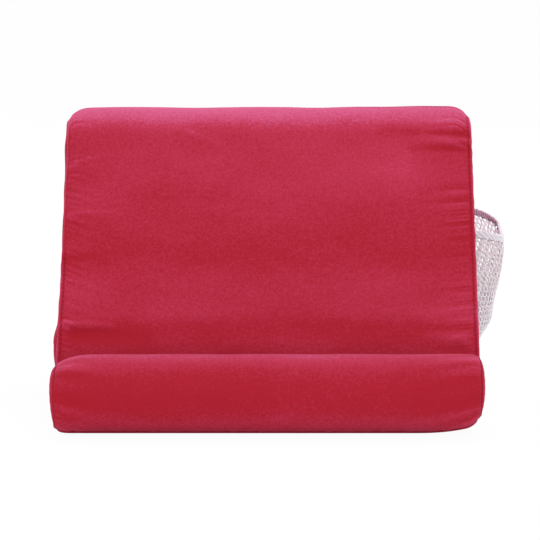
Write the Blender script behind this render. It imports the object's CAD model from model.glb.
"""Looks of a soft tablet stand: a sewn suede wedge, its roll, a net pocket and a zip.

Metres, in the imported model's frame: the front faces -Y, +Z is up, the floor is z = 0.
"""
import logging
import math
from dataclasses import dataclass
from enum import Enum, IntEnum
from typing import Optional, Sequence, TypeVar

import bpy
import numpy as np
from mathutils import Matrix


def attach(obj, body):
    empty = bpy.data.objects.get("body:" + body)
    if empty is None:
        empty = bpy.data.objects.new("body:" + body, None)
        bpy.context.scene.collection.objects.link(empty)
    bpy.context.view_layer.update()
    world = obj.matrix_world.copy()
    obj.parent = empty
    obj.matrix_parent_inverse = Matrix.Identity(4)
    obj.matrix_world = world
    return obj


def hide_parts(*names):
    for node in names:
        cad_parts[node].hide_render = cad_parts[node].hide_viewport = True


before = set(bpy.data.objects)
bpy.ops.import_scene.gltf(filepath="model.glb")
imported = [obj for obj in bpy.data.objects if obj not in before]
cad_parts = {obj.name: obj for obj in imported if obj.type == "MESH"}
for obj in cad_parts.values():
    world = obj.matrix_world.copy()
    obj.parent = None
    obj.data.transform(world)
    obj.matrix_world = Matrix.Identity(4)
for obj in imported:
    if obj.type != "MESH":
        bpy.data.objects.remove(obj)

LOG = logging.getLogger("tablet_stand")
BODY = "cushion"
RIPPLE_SPREAD = (0.65, 1.7)
LUMP_SPREAD = (0.6, 1.6)
WAVE_HEIGHT = 0.75

Array = np.ndarray
Pair = tuple[float, float]
Range = tuple[float, float]
Triple = tuple[float, float, float]
Colour = tuple[float, float, float]
Piece = bpy.types.Object
Material = bpy.types.Material
Socket = bpy.types.NodeSocket
T = TypeVar("T")


class Side(Enum):
    """The two ends of the stand, as signs along X."""

    LEFT = -1
    RIGHT = 1

    @property
    def word(self) -> str:
        """Left or right."""
        return self.name.lower()

    def of(self, pair: Sequence[T]) -> T:
        """The left or the right one of a pair."""
        return pair[0 if self is Side.LEFT else 1]


class Seed(IntEnum):
    """What picks the irregular waves of each place."""

    FRONT = 11
    REAR = 17
    BACK_UPPER = 51
    BACK_LOWER = 71
    BASE = 91
    SIDE = 130
    SLEEVE_SHORT = 211
    SLEEVE_LONG = 221
    SLEEVE_LUMPS = 231
    SLEEVE_FOOT = 241
    CAP = 261
    PLEATS = 301
    CREASES = 303
    HEM = 311
    HEM_EDGE = 313


# Waves and grids


def ripple(along: Array, seed: int, wavelength: float, terms: int = 7) -> Array:
    """An irregular wave along a seam.

    Args:
        along: distance along the seam.
        seed: picks the wave.
        wavelength: typical distance from crest to crest.
        terms: number of waves that are mixed.

    Returns:
        Heights of about -1.5 to 1.5, shaped like along.
    """
    rng = np.random.default_rng(seed)
    total = np.zeros_like(along, dtype=float)
    for _ in range(terms):
        length = wavelength * rng.uniform(*RIPPLE_SPREAD)
        total += np.cos(2 * math.pi * along / length + rng.uniform(0, 2 * math.pi))
    return total * math.sqrt(2 / terms) * WAVE_HEIGHT


def lumps(points: Array, seed: int, wavelength: float, terms: int = 16) -> Array:
    """Gentle unevenness of a stuffed surface.

    Args:
        points: places, with three numbers on the last axis.
        seed: picks the pattern.
        wavelength: typical distance from lump to lump.
        terms: number of waves that are mixed.

    Returns:
        Heights of about -1.5 to 1.5, one for each point.
    """
    rng = np.random.default_rng(seed)
    total = np.zeros(points.shape[:-1])
    for _ in range(terms):
        heading = rng.normal(size=3)
        heading /= np.linalg.norm(heading)
        length = wavelength * rng.uniform(*LUMP_SPREAD)
        total += np.cos(2 * math.pi * (points @ heading) / length + rng.uniform(0, 2 * math.pi))
    return total * math.sqrt(2 / terms) * WAVE_HEIGHT


def crest(distance: Array, peak: float) -> Array:
    """A swell that is nothing at the seam, one at peak, and dies away beyond it."""
    share = np.maximum(distance, 0) / peak
    return share * np.exp(1 - share)


def ease(value: Array, start: float, end: float) -> Array:
    """A smooth step from 0 at start to 1 at end."""
    share = np.clip((value - start) / (end - start), 0, 1)
    return share * share * (3 - 2 * share)


def plateau(value: Array, rise: Range, fall: Range) -> Array:
    """A smooth rise from 0 to 1 over one range, and the fall over another."""
    return ease(value, *rise) * (1 - ease(value, *fall))


def bell(distance: Array, width: float) -> Array:
    """A bump that is one at no distance and dies away over a width."""
    return np.exp(-((distance / width) ** 2))


def rubbed(height: Array, full: float, most: float = 0.5) -> Array:
    """Nap of raised and sunken cloth: raised pile is rubbed light."""
    return np.clip(height / full, -most, most)


def ring_shares(first: float, count: int, bend: float) -> Array:
    """Shares of the way from a panel's middle to its rim, closer together at the rim."""
    return 1 - (1 - np.linspace(first, 1, count)) ** bend


def lengths(vectors: Array) -> Array:
    """Length of each vector on the last axis."""
    return np.linalg.norm(vectors, axis=-1)


def run_length(path: Array) -> Array:
    """Distance of each point of a path from its start."""
    return np.concatenate([[0], np.cumsum(lengths(np.diff(path, axis=0)))])


def grid_normals(points: Array, ring: bool = False) -> Array:
    """Unit normals of a grid of points.

    Args:
        points: rows by columns by three.
        ring: the last column joins the first.

    Returns:
        Normals shaped like points, on the side where columns turn left to rows.
    """
    if ring:
        wide = np.concatenate([points[:, -1:], points, points[:, :1]], axis=1)
        across = (wide[:, 2:] - wide[:, :-2]) / 2
    else:
        across = np.gradient(points, axis=1)
    normals = np.cross(across, np.gradient(points, axis=0))
    return normals / np.maximum(np.linalg.norm(normals, axis=-1, keepdims=True), 1e-12)


def facing_out(points: Array, end: Side) -> Array:
    """Rings of an end panel, in the order that faces outwards.

    Args:
        points: rows by columns by three.
        end: the panel's side.

    Returns:
        The points, with the columns turned round where they faced inwards.
    """
    outward = (grid_normals(points, ring=True)[..., 0] * end.value).sum() > 0
    return points if outward else points[:, ::-1]


def line_distance(points: Array, line: Sequence[Pair]) -> Array:
    """Distance of flat points from a line of several straight runs.

    Args:
        points: places, with two numbers on the last axis.
        line: the corners of the line.

    Returns:
        One distance for each point.
    """
    best = np.full(points.shape[:-1], 1e9)
    for start, end in zip(line[:-1], line[1:]):
        a, run = np.array(start), np.array(end) - np.array(start)
        share = np.clip(((points - a) @ run) / (run @ run), 0, 1)
        best = np.minimum(best, lengths(points - a - share[..., None] * run))
    return best


# Meshes


def make_mesh(name: str, points: Array, faces: Sequence[Sequence[int]]) -> Piece:
    """A smooth mesh object at the origin.

    Args:
        name: the piece's name.
        points: its corners, one row each.
        faces: corner numbers of each face.

    Returns:
        The new object.
    """
    mesh = bpy.data.meshes.new(name)
    mesh.from_pydata([tuple(p) for p in points], [], [tuple(f) for f in faces])
    mesh.validate()
    mesh.polygons.foreach_set("use_smooth", [True] * len(mesh.polygons))
    mesh.update()
    piece = bpy.data.objects.new(name, mesh)
    bpy.context.scene.collection.objects.link(piece)
    return piece


def grid_faces(rows: int, columns: int, ring: bool = False) -> list[tuple[int, ...]]:
    """Four-sided faces of a grid of corners.

    Args:
        rows: number of rows.
        columns: corners in each row.
        ring: the last column joins the first.

    Returns:
        Corner numbers of each face.
    """
    last = columns if ring else columns - 1
    return [
        (r * columns + c, r * columns + (c + 1) % columns,
         (r + 1) * columns + (c + 1) % columns, (r + 1) * columns + c)
        for r in range(rows - 1)
        for c in range(last)
    ]


def panel_mesh(name: str, points: Array, nap: Optional[Array] = None, ring: bool = False) -> Piece:
    """A cloth panel from a grid of points.

    Args:
        name: the piece's name.
        points: rows by columns by three.
        nap: how far the pile is rubbed light (above 0) or pressed dark (below 0).
        ring: columns run right round, and the first row closes to a point.

    Returns:
        The panel, one layer thick.
    """
    rows, columns = points.shape[:2]
    corners = points.reshape(-1, 3)
    faces = grid_faces(rows, columns, ring)
    values = np.zeros(rows * columns) if nap is None else nap.reshape(-1)
    if ring:
        corners = np.vstack([corners, points[0].mean(axis=0)])
        values = np.append(values, values[:columns].mean())
        faces += [(rows * columns, (c + 1) % columns, c) for c in range(columns)]
    piece = make_mesh(name, corners, faces)
    layer = piece.data.attributes.new("nap", "FLOAT", "POINT")
    layer.data.foreach_set("value", values.astype(np.float32))
    return piece


def pick(piece: Piece) -> None:
    """Makes a piece the only one that operators act on.

    Args:
        piece: the piece.
    """
    bpy.ops.object.select_all(action="DESELECT")
    piece.select_set(True)
    bpy.context.view_layer.objects.active = piece


def thicken(piece: Piece, thickness: float, offset: float = -1.0) -> Piece:
    """Gives a layer of cloth its thickness.

    Args:
        piece: the layer.
        thickness: distance from face to face.
        offset: -1 grows it inwards and 0 both ways.

    Returns:
        The same piece.
    """
    pick(piece)
    wall = piece.modifiers.new("wall", "SOLIDIFY")
    wall.thickness = thickness
    wall.offset = offset
    bpy.ops.object.modifier_apply(modifier=wall.name)
    return piece


def closed_loft(name: str, rings: Array) -> Piece:
    """A closed block through rings of points.

    Args:
        name: the piece's name.
        rings: rows by columns by three.

    Returns:
        The block, with its faces turned outwards.
    """
    rows, columns = rings.shape[:2]
    faces = grid_faces(rows, columns, ring=True)
    faces += [tuple(range(columns - 1, -1, -1)), tuple(range((rows - 1) * columns, rows * columns))]
    piece = make_mesh(name, rings.reshape(-1, 3), faces)
    pick(piece)
    bpy.ops.object.mode_set(mode="EDIT")
    bpy.ops.mesh.select_all(action="SELECT")
    bpy.ops.mesh.normals_make_consistent(inside=False)
    bpy.ops.object.mode_set(mode="OBJECT")
    return piece


def stitch_row(name: str, path: Array, normals: Array, pitch: float, length: float, width: float) -> Piece:
    """A row of sewn stitches along a line on the cloth.

    Args:
        name: the piece's name.
        path: points of the line.
        normals: the cloth's normals at them.
        pitch: distance from stitch to stitch.
        length: length of the thread that shows.
        width: width of the thread.

    Returns:
        All stitches of the row as one mesh.
    """
    bpy.ops.object.select_all(action="DESELECT")
    bpy.ops.mesh.primitive_uv_sphere_add(segments=8, ring_count=6, radius=1.0)
    model = bpy.context.object
    bpy.ops.object.mode_set(mode="EDIT")
    bpy.ops.mesh.select_all(action="SELECT")
    bpy.ops.transform.resize(value=(width / 2, width / 3, length / 2))
    bpy.ops.object.mode_set(mode="OBJECT")
    one = np.array([v.co[:] for v in model.data.vertices])
    shape = [tuple(p.vertices) for p in model.data.polygons]
    bpy.data.objects.remove(model)
    along = run_length(path)
    count = int(along[-1] // pitch)
    places = (np.arange(count) + 0.5) * along[-1] / count

    def at(values: Array, where: Array) -> Array:
        """Values along the line at given distances."""
        return np.stack([np.interp(where, along, values[:, k]) for k in range(3)], axis=1)

    centres, ups = at(path, places), at(normals, places)
    runs = at(path, places + pitch / 4) - at(path, places - pitch / 4)
    runs /= np.linalg.norm(runs, axis=1, keepdims=True)
    sides = np.cross(ups, runs)
    sides /= np.linalg.norm(sides, axis=1, keepdims=True)
    ups = np.cross(runs, sides)
    turned = (one[None, :, 0:1] * sides[:, None] + one[None, :, 1:2] * ups[:, None]
              + one[None, :, 2:3] * runs[:, None])
    corners = (turned + centres[:, None]).reshape(-1, 3)
    faces = [tuple(k + i * len(one) for k in f) for i in range(count) for f in shape]
    return make_mesh(name, corners, faces)


def settle(piece: Piece, material: Material, nodes: Sequence[str] = ()) -> Piece:
    """Dresses a piece and ties it to the model.

    Args:
        piece: the finished mesh.
        material: its finish.
        nodes: CAD nodes that it stands for.

    Returns:
        The same piece.
    """
    piece.data.materials.clear()
    piece.data.materials.append(material)
    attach(piece, BODY)
    if nodes:
        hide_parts(*nodes)
    LOG.info("%s: %d faces", piece.name, len(piece.data.polygons))
    return piece


# Filling


@dataclass(frozen=True)
class Stuffing:
    """The filling's pressure on a sewn panel, found by a short cloth simulation."""

    enlarge: float = 10.0
    pressure: float = 2.0
    frames: int = 22
    cells: int = 62
    steps: int = 6
    mass: float = 0.3
    stiffness: float = 0.5
    smoothing: int = 3
    plain_bend: float = 0.6

    def coarse(self, count: int, ring: bool) -> Array:
        """Numbers of the rows or columns that the simulation uses.

        Args:
            count: how many the panel has.
            ring: they run right round.

        Returns:
            The numbers.
        """
        if ring:
            return np.arange(0, count, max(1, count // self.cells))
        return np.unique(np.linspace(0, count - 1, min(count, self.cells)).round().astype(int))

    def swell(self, points: Array, crown: float, ring: bool = False) -> Array:
        """How the filling moves each point of a panel that is sewn down all round.

        Args:
            points: rows by columns by three, in sewing order.
            crown: the largest move.
            ring: the columns run right round, and only the last row is sewn down.

        Returns:
            Moves shaped like points.
        """
        rows, columns = points.shape[:2]
        r, c = self.coarse(rows, False), self.coarse(columns, ring)
        start = points[np.ix_(r, c)]
        moves = self.simulate(start, ring) - start
        moves *= crown / max(lengths(moves).max(), 1e-9)
        return self.spread(moves, r, c, rows, columns, ring)

    def simulate(self, start: Array, ring: bool) -> Array:
        """Runs the cloth.

        Args:
            start: the coarse panel.
            ring: its columns run right round.

        Returns:
            Where its points end.
        """
        rows, columns = start.shape[:2]
        piece = panel_mesh("cloth", start * self.enlarge, ring=ring)
        sewn = np.zeros((rows, columns), bool)
        sewn[-1] = True
        if not ring:
            sewn[0] = sewn[:, 0] = sewn[:, -1] = True
        pins = piece.vertex_groups.new(name="sewn")
        pins.add([int(i) for i in np.flatnonzero(sewn)], 1.0, "REPLACE")
        cloth = piece.modifiers.new("cloth", "CLOTH")
        cloth.settings.quality = self.steps
        cloth.settings.mass = self.mass
        cloth.settings.bending_stiffness = self.stiffness
        cloth.settings.vertex_group_mass = pins.name
        cloth.settings.use_pressure = True
        cloth.settings.uniform_pressure_force = self.pressure
        cloth.settings.effector_weights.gravity = 0
        cloth.collision_settings.use_collision = False
        scene = bpy.context.scene
        for number in range(1, self.frames + 1):
            scene.frame_set(number)
        shown = piece.evaluated_get(bpy.context.evaluated_depsgraph_get()).data
        ends = np.empty(len(shown.vertices) * 3)
        shown.vertices.foreach_get("co", ends)
        bpy.data.objects.remove(piece)
        scene.frame_set(1)
        return ends.reshape(-1, 3)[: rows * columns].reshape(rows, columns, 3) / self.enlarge

    def spread(self, moves: Array, r: Array, c: Array, rows: int, columns: int, ring: bool) -> Array:
        """Carries coarse moves over to every point.

        Args:
            moves: moves of the coarse panel.
            r: its row numbers.
            c: its column numbers.
            rows: number of fine rows.
            columns: number of fine columns.
            ring: the columns run right round.

        Returns:
            Moves of the fine panel.
        """
        if ring:
            c, moves = np.append(c, columns), np.concatenate([moves, moves[:, :1]], axis=1)
        tall = np.stack([[np.interp(np.arange(rows), r, moves[:, j, k]) for k in range(3)]
                         for j in range(len(c))], axis=1)
        wide = np.stack([[np.interp(np.arange(columns), c, tall[k, :, i]) for k in range(3)]
                         for i in range(rows)], axis=0)
        fine = wide.transpose(0, 2, 1)
        for _ in range(self.smoothing):
            fine[1:-1] = (fine[:-2] + 2 * fine[1:-1] + fine[2:]) / 4
            fine[:, 1:-1] = (fine[:, :-2] + 2 * fine[:, 1:-1] + fine[:, 2:]) / 4
        return fine


# Finishes


class Shader:
    """A node material under construction."""

    def __init__(self, name: str) -> None:
        """Starts a material with one Principled shader.

        Args:
            name: the material's name.
        """
        self.material = bpy.data.materials.new(name)
        self.material.use_nodes = True
        self.nodes = self.material.node_tree.nodes
        self.links = self.material.node_tree.links
        self.surface = self.nodes["Principled BSDF"]
        self.place = self.node("ShaderNodeTexCoord").outputs["Object"]

    def node(self, kind: str, **settings: object) -> bpy.types.Node:
        """Adds a node.

        Args:
            kind: its Blender type.
            settings: values for its properties and inputs, by name.

        Returns:
            The node.
        """
        made = self.nodes.new(kind)
        for name, value in settings.items():
            if hasattr(made, name):
                setattr(made, name, value)
            else:
                made.inputs[name.replace("_", " ")].default_value = value
        return made

    def set(self, **values: object) -> None:
        """Sets the Principled shader's own sockets."""
        for name, value in values.items():
            self.surface.inputs[name.replace("_", " ")].default_value = value

    def noise(self, scale: float, detail: float, source: Optional[Socket] = None
              ) -> Socket:
        """Noise by place.

        Args:
            scale: waves per metre.
            detail: number of finer layers.
            source: other coordinates than the object's.

        Returns:
            The noise, from 0 to 1.
        """
        made = self.node("ShaderNodeTexNoise", Scale=scale, Detail=detail, Roughness=0.6)
        self.links.new(source or self.place, made.inputs["Vector"])
        return made.outputs["Fac"]

    def math(self, operation: str, *values: object) -> Socket:
        """One sum.

        Args:
            operation: what to do with the values.
            values: sockets or numbers.

        Returns:
            The result.
        """
        made = self.node("ShaderNodeMath", operation=operation)
        for socket, value in zip(made.inputs, values):
            if isinstance(value, Socket):
                self.links.new(value, socket)
            else:
                socket.default_value = value
        return made.outputs[0]

    def ramp(self, value: Socket, stops: Sequence[tuple[float, Colour]]
             ) -> Socket:
        """Colours by value.

        Args:
            value: the value.
            stops: places from 0 to 1 and their colours.

        Returns:
            The colour.
        """
        made = self.node("ShaderNodeValToRGB")
        band = made.color_ramp.elements
        while len(band) < len(stops):
            band.new(0.5)
        for element, (place, colour) in zip(band, stops):
            element.position = place
            element.color = (*colour, 1.0)
        self.links.new(value, made.inputs["Fac"])
        return made.outputs["Color"]

    def paint(self, colour: Socket) -> None:
        """Sends a colour to the surface."""
        self.links.new(colour, self.surface.inputs["Base Color"])

    def bump(self, height: Socket, distance: float, strength: float = 1.0) -> None:
        """Raises the surface by a height.

        Args:
            height: from 0 to 1.
            distance: what 1 stands for.
            strength: how strongly it shows.
        """
        made = self.node("ShaderNodeBump", Distance=distance, Strength=strength)
        self.links.new(height, made.inputs["Height"])
        self.links.new(made.outputs["Normal"], self.surface.inputs["Normal"])

    def rough(self, cloud: Socket, least: float, change: float) -> None:
        """Sets the roughness, which may change with a noise.

        Args:
            cloud: the noise.
            least: the roughness where it is 0.
            change: what is added where it is 1.
        """
        self.set(Roughness=least)
        if change:
            made = self.math("MULTIPLY_ADD", cloud, change, least)
            self.links.new(made, self.surface.inputs["Roughness"])

    def glow(self, depth: float) -> None:
        """Lets light into pale yarn, as deep as a distance."""
        if depth:
            self.set(Subsurface_Weight=1.0, Subsurface_Radius=(1.0, 0.9, 1.0), Subsurface_Scale=depth)


@dataclass(frozen=True)
class Suede:
    """Brushed crimson suede cloth with a short pile."""

    pressed: Colour = (0.330, 0.0066, 0.0130)
    plain: Colour = (0.356, 0.0125, 0.0275)
    rubbed: Colour = (0.465, 0.034, 0.080)
    brushed: Colour = (0.600, 0.100, 0.224)
    pile_scale: float = 1500.0
    grain_scale: float = 560.0
    nap_scale: float = 26.0
    nap_stretch: Triple = (0.45, 1.0, 1.0)
    worn_share: float = 0.34
    nap_share: float = 0.28
    grain_share: float = 0.34
    pile_share: float = 0.28
    grain_relief: float = 0.6

    def material(self) -> Material:
        """The finish as a node material.

        Returns:
            The material.
        """
        make = Shader("crimson_suede")
        pile = make.noise(self.pile_scale, detail=3.0)
        grain = make.noise(self.grain_scale, detail=2.0)
        streaks = make.node("ShaderNodeMapping", Scale=self.nap_stretch)
        make.links.new(make.place, streaks.inputs["Vector"])
        nap = make.noise(self.nap_scale, detail=5.0, source=streaks.outputs["Vector"])
        worn = make.node("ShaderNodeAttribute", attribute_name="nap").outputs["Fac"]
        tone = make.math("MULTIPLY_ADD", worn, self.worn_share, 0.5)
        for source, share in ((nap, self.nap_share), (grain, self.grain_share), (pile, self.pile_share)):
            tone = make.math("ADD", tone, make.math("MULTIPLY_ADD", source, share, -share / 2))
        make.paint(make.ramp(tone, [(0.05, self.pressed), (0.5, self.plain), (0.75, self.rubbed),
                                    (1.0, self.brushed)]))
        relief = make.math("MULTIPLY_ADD", grain, self.grain_relief, pile)
        make.bump(relief, distance=0.0004, strength=0.55)
        make.set(Roughness=0.95, Specular_IOR_Level=0.08, Sheen_Weight=0.13, Sheen_Roughness=0.38,
                 Sheen_Tint=(1.0, 0.42, 0.80, 1.0))
        return make.material


@dataclass(frozen=True)
class Spun:
    """Thread, yarn or moulded nylon: two shades in a fine noise."""

    name: str
    shade: Colour
    plain: Colour
    scale: float
    relief: float
    strength: float
    specular: float
    roughness: float
    rough_change: float = 0.0
    glow_depth: float = 0.0
    detail: float = 2.0
    stops: Range = (0.3, 0.7)

    def material(self) -> Material:
        """The finish as a node material.

        Returns:
            The material.
        """
        make = Shader(self.name)
        cloud = make.noise(self.scale, self.detail)
        make.paint(make.ramp(cloud, list(zip(self.stops, (self.shade, self.plain)))))
        make.bump(cloud, self.relief, self.strength)
        make.set(Specular_IOR_Level=self.specular)
        make.rough(cloud, self.roughness, self.rough_change)
        make.glow(self.glow_depth)
        return make.material


@dataclass(frozen=True)
class Woven:
    """A woven band: ribs or a weave, with fuzz in it."""

    name: str
    shade: Colour
    plain: Colour
    weave_scale: float
    weave_share: float
    direction: str
    wander: float
    fuzz_scale: float
    fuzz_share: float
    relief: float
    strength: float
    specular: float
    roughness: float
    stops: Range
    glow_depth: float = 0.0

    def material(self) -> Material:
        """The finish as a node material.

        Returns:
            The material.
        """
        make = Shader(self.name)
        weave = make.node("ShaderNodeTexWave", Scale=self.weave_scale, Distortion=self.wander,
                          bands_direction=self.direction)
        make.links.new(make.place, weave.inputs["Vector"])
        tone = make.math("MULTIPLY_ADD", make.noise(self.fuzz_scale, detail=2.0), self.fuzz_share,
                         make.math("MULTIPLY", weave.outputs["Fac"], self.weave_share))
        make.paint(make.ramp(tone, list(zip(self.stops, (self.shade, self.plain)))))
        make.bump(tone, self.relief, self.strength)
        make.set(Roughness=self.roughness, Specular_IOR_Level=self.specular)
        make.glow(self.glow_depth)
        return make.material


THREAD = Spun("crimson_thread", shade=(0.170, 0.006, 0.012), plain=(0.270, 0.012, 0.024), scale=2600.0,
              relief=0.0001, strength=0.6, specular=0.10, roughness=0.8)
NET_YARN = Spun("white_net", shade=(0.58, 0.52, 0.61), plain=(0.71, 0.65, 0.75), scale=2200.0,
                relief=0.0002, strength=0.5, specular=0.15, roughness=0.7, glow_depth=0.004)
NYLON = Spun("crimson_nylon", shade=(0.190, 0.010, 0.020), plain=(0.310, 0.018, 0.034), scale=700.0,
             relief=0.00005, strength=0.4, specular=0.22, roughness=0.42, rough_change=0.15, detail=3.0,
             stops=(0.35, 0.7))
ELASTIC = Woven("white_elastic", shade=(0.46, 0.42, 0.49), plain=(0.68, 0.65, 0.71), weave_scale=150.0,
                weave_share=0.5, direction="Y", wander=1.2, fuzz_scale=1500.0, fuzz_share=0.5, relief=0.0003,
                strength=0.7, specular=0.15, roughness=0.75, stops=(0.25, 0.75), glow_depth=0.005)
ZIP_TAPE = Woven("crimson_tape", shade=(0.150, 0.008, 0.016), plain=(0.330, 0.020, 0.036), weave_scale=420.0,
                 weave_share=0.6, direction="DIAGONAL", wander=0.6, fuzz_scale=900.0, fuzz_share=0.4,
                 relief=0.0002, strength=0.6, specular=0.25, roughness=0.8, stops=(0.2, 0.8))


@dataclass(frozen=True)
class PlatedZinc:
    """Nickel-plated zinc casting, a little rubbed."""

    dull: Colour = (0.37, 0.37, 0.36)
    bright: Colour = (0.50, 0.50, 0.48)
    least_rough: float = 0.24
    rough_change: float = 0.18

    def material(self) -> Material:
        """The finish as a node material.

        Returns:
            The material.
        """
        make = Shader("plated_zinc")
        cloud = make.noise(scale=260.0, detail=4.0)
        make.paint(make.ramp(cloud, [(0.35, self.dull), (0.65, self.bright)]))
        make.rough(cloud, self.least_rough, self.rough_change)
        make.bump(make.noise(scale=1800.0, detail=2.0), distance=0.00003, strength=0.3)
        make.set(Metallic=1.0)
        return make.material


@dataclass(frozen=True)
class Foam:
    """Open-cell cushion foam."""

    pore: Colour = (0.50, 0.44, 0.30)
    plain: Colour = (0.80, 0.75, 0.62)

    def material(self) -> Material:
        """The finish as a node material.

        Returns:
            The material.
        """
        make = Shader("cushion_foam")
        cells = make.node("ShaderNodeTexVoronoi", Scale=700.0)
        make.links.new(make.place, cells.inputs["Vector"])
        make.paint(make.ramp(cells.outputs["Distance"], [(0.0, self.pore), (0.5, self.plain)]))
        make.bump(cells.outputs["Distance"], distance=0.0006, strength=0.8)
        make.set(Roughness=0.95, Specular_IOR_Level=0.2)
        return make.material


# The wedge's section


@dataclass(frozen=True)
class WedgeShape:
    """The sewn wedge: its section in Y and Z, and its width.

    Radii, runs and bends of the ridge's corners come in pairs, for the left and the right end.
    """

    half_width: float = 0.145
    top_taper: float = 0.0010
    height: float = 0.203
    toe: float = -0.075229
    heel: float = 0.116771
    slope_turn: float = math.radians(148.0)
    back_turn: float = math.radians(10.443)
    ridge_radius: float = 0.01965
    ridge_tight: float = 0.00065
    tight_range: Range = (0.055, 0.105)
    ridge_end_radii: Pair = (0.0260, 0.0246)
    corner_runs: Pair = (0.032, 0.020)
    corner_bends: Pair = (5.5, 3.3)
    corner_climb: Range = (0.7, 1.0)
    heel_radius: float = 0.008
    middle: Pair = (0.02845, 0.07308)
    flange: float = 0.0026
    foot_tuck: float = 0.0034
    tuck_range: Range = (0.006, 0.036)
    toe_rise: float = 0.0085
    toe_x: Range = (0.108, 0.143)
    toe_y: Range = (0.035, 0.075)
    toe_fade: float = 0.030
    left_out: float = 0.0008
    left_out_heights: tuple[Range, Range] = ((0.104, 0.124), (0.154, 0.170))
    left_in: float = 0.0008
    left_in_heights: tuple[Range, Range] = ((0.060, 0.095), (0.165, 0.188))
    left_lean: float = 0.0005

    def side(self, turn: float, at: float) -> tuple[Array, float]:
        """Normal and reach of the straight side through the floor at a point."""
        normal = np.array([math.cos(turn), math.sin(turn)])
        return normal, normal[0] * at

    @property
    def slope(self) -> tuple[Array, float]:
        """The sloping front."""
        return self.side(self.slope_turn, self.toe)

    @property
    def back(self) -> tuple[Array, float]:
        """The upright back."""
        return self.side(self.back_turn, self.heel)

    @property
    def base(self) -> tuple[Array, float]:
        """The floor side."""
        return np.array([0.0, -1.0]), 0.0

    @property
    def steepness(self) -> float:
        """Height for each metre along the slope."""
        return abs(math.cos(self.slope_turn))

    @staticmethod
    def meet(one: tuple[Array, float], inset_one: Array, two: tuple[Array, float], inset_two: Array
             ) -> Array:
        """Where two sides meet, each moved in by an inset.

        Args:
            one: normal and reach of the first side.
            inset_one: how far it is moved in.
            two: normal and reach of the second side.
            inset_two: how far that is moved in.

        Returns:
            The points, with Y and Z on the last axis.
        """
        (a, b), (c, d) = one[0], two[0]
        e, f = one[1] - inset_one, two[1] - inset_two
        span = a * d - b * c
        return np.stack([(e * d - b * f) / span, (a * f - e * c) / span], axis=-1)

    def stitch_half(self, z: Array) -> Array:
        """Half the width between the side seams at a height."""
        tuck = self.foot_tuck * (1 - ease(z, *self.tuck_range))
        return self.half_width - self.top_taper * z / self.height - self.flange - tuck

    def ridge(self, place: Array) -> tuple[Array, Array]:
        """Radius and centre of the ridge across the width.

        Args:
            place: distances from the middle, at the width of the floor.

        Returns:
            The radii and the centres.
        """
        run, bend, end = (np.where(place < 0, *pair) for pair in
                          (self.corner_runs, self.corner_bends, self.ridge_end_radii))
        share = np.clip((np.abs(place) - self.half_width + run) / run, 0, 1)
        radius = self.ridge_radius - self.ridge_tight * ease(place, *self.tight_range)
        radius = radius + (end - radius) * share**bend
        return radius, self.meet(self.slope, radius, self.back, radius)

    @staticmethod
    def on_circle(centre: Array, radius: Array, turn: Array) -> Array:
        """Points on circles in the section."""
        return centre + radius[..., None] * np.stack([np.cos(turn), np.sin(turn)], axis=-1)

    def front_section(self, place: Array, foot: float, climb: Array, turns: Array) -> Array:
        """Section points up the slope and over the ridge.

        Args:
            place: distances from the middle, at the width of the floor.
            foot: height where the slope starts.
            climb: shares of the way up the straight slope.
            turns: directions on the ridge, after the slope's own.

        Returns:
            Points, rows by columns by two.
        """
        radius, centre = self.ridge(place)
        top = self.on_circle(centre, radius, np.full(len(place), self.slope_turn))
        normal, reach = self.slope
        start = np.array([(reach - normal[1] * foot) / normal[0], foot])
        whole = (top - start)[np.argmax(top[:, 1])]
        late = ease(climb, *self.corner_climb)
        slope = start + climb[:, None, None] * whole + late[:, None, None] * (top - start - whole)
        over = np.stack([self.on_circle(centre, radius, np.full(len(place), t)) for t in turns])
        return np.concatenate([slope, over])

    def back_top(self, place: Array) -> Array:
        """Where the ridge meets the straight back."""
        radius, centre = self.ridge(place)
        return self.on_circle(centre, radius, np.full(len(place), self.back_turn))

    def toe_lift(self, points: Array) -> Array:
        """How far the right-hand toe is drawn up with the end of the roll."""
        x, y, z = points[..., 0], points[..., 1], points[..., 2]
        return self.toe_rise * ease(x, *self.toe_x) * ease(-y, *self.toe_y) * np.exp(-z / self.toe_fade)

    def left_reach(self, z: Array) -> Array:
        """How far the left seam stands out: in above the foot, and out where its flange is turned back."""
        rolled = self.left_out * plateau(z, *self.left_out_heights)
        return rolled - self.left_in * plateau(z, *self.left_in_heights) - self.left_lean * z / self.height

    def back_at(self, z: Array) -> Array:
        """Section points on the straight back at heights."""
        normal, reach = self.back
        return np.stack([(reach - normal[1] * z) / normal[0], z], axis=-1)

    def heel_arc(self, turns: Array, inset: float = 0.0) -> Array:
        """Points on the rounded heel.

        Args:
            turns: their directions.
            inset: how far they are moved in.

        Returns:
            Their Y and Z.
        """
        radius = np.array(self.heel_radius)
        centre = self.meet(self.back, radius, self.base, radius)
        return self.on_circle(centre, np.array([self.heel_radius - inset]), turns)

    def outline(self, place: float, inset: float, steps: Sequence[int]) -> Array:
        """The closed section outline.

        Args:
            place: distance from the middle, at the width of the floor.
            inset: how far it is moved in.
            steps: number of points on the slope, ridge, back, heel and base.

        Returns:
            Points from the toe up the slope and round.
        """
        radius, centre = self.ridge(np.array([place]))
        turns = np.linspace(self.slope_turn, self.back_turn, steps[1])
        ridge = self.on_circle(centre, radius - inset, turns)
        start = self.meet(self.slope, np.array(inset), self.base, np.array(inset))
        heel = self.heel_arc(np.linspace(self.back_turn, -math.pi / 2, steps[3]), inset)

        def run(a: Array, b: Array, count: int) -> Array:
            """Points from a up to, and without, b."""
            return a + np.linspace(0, 1, count, endpoint=False)[:, None] * (b - a)

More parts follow.
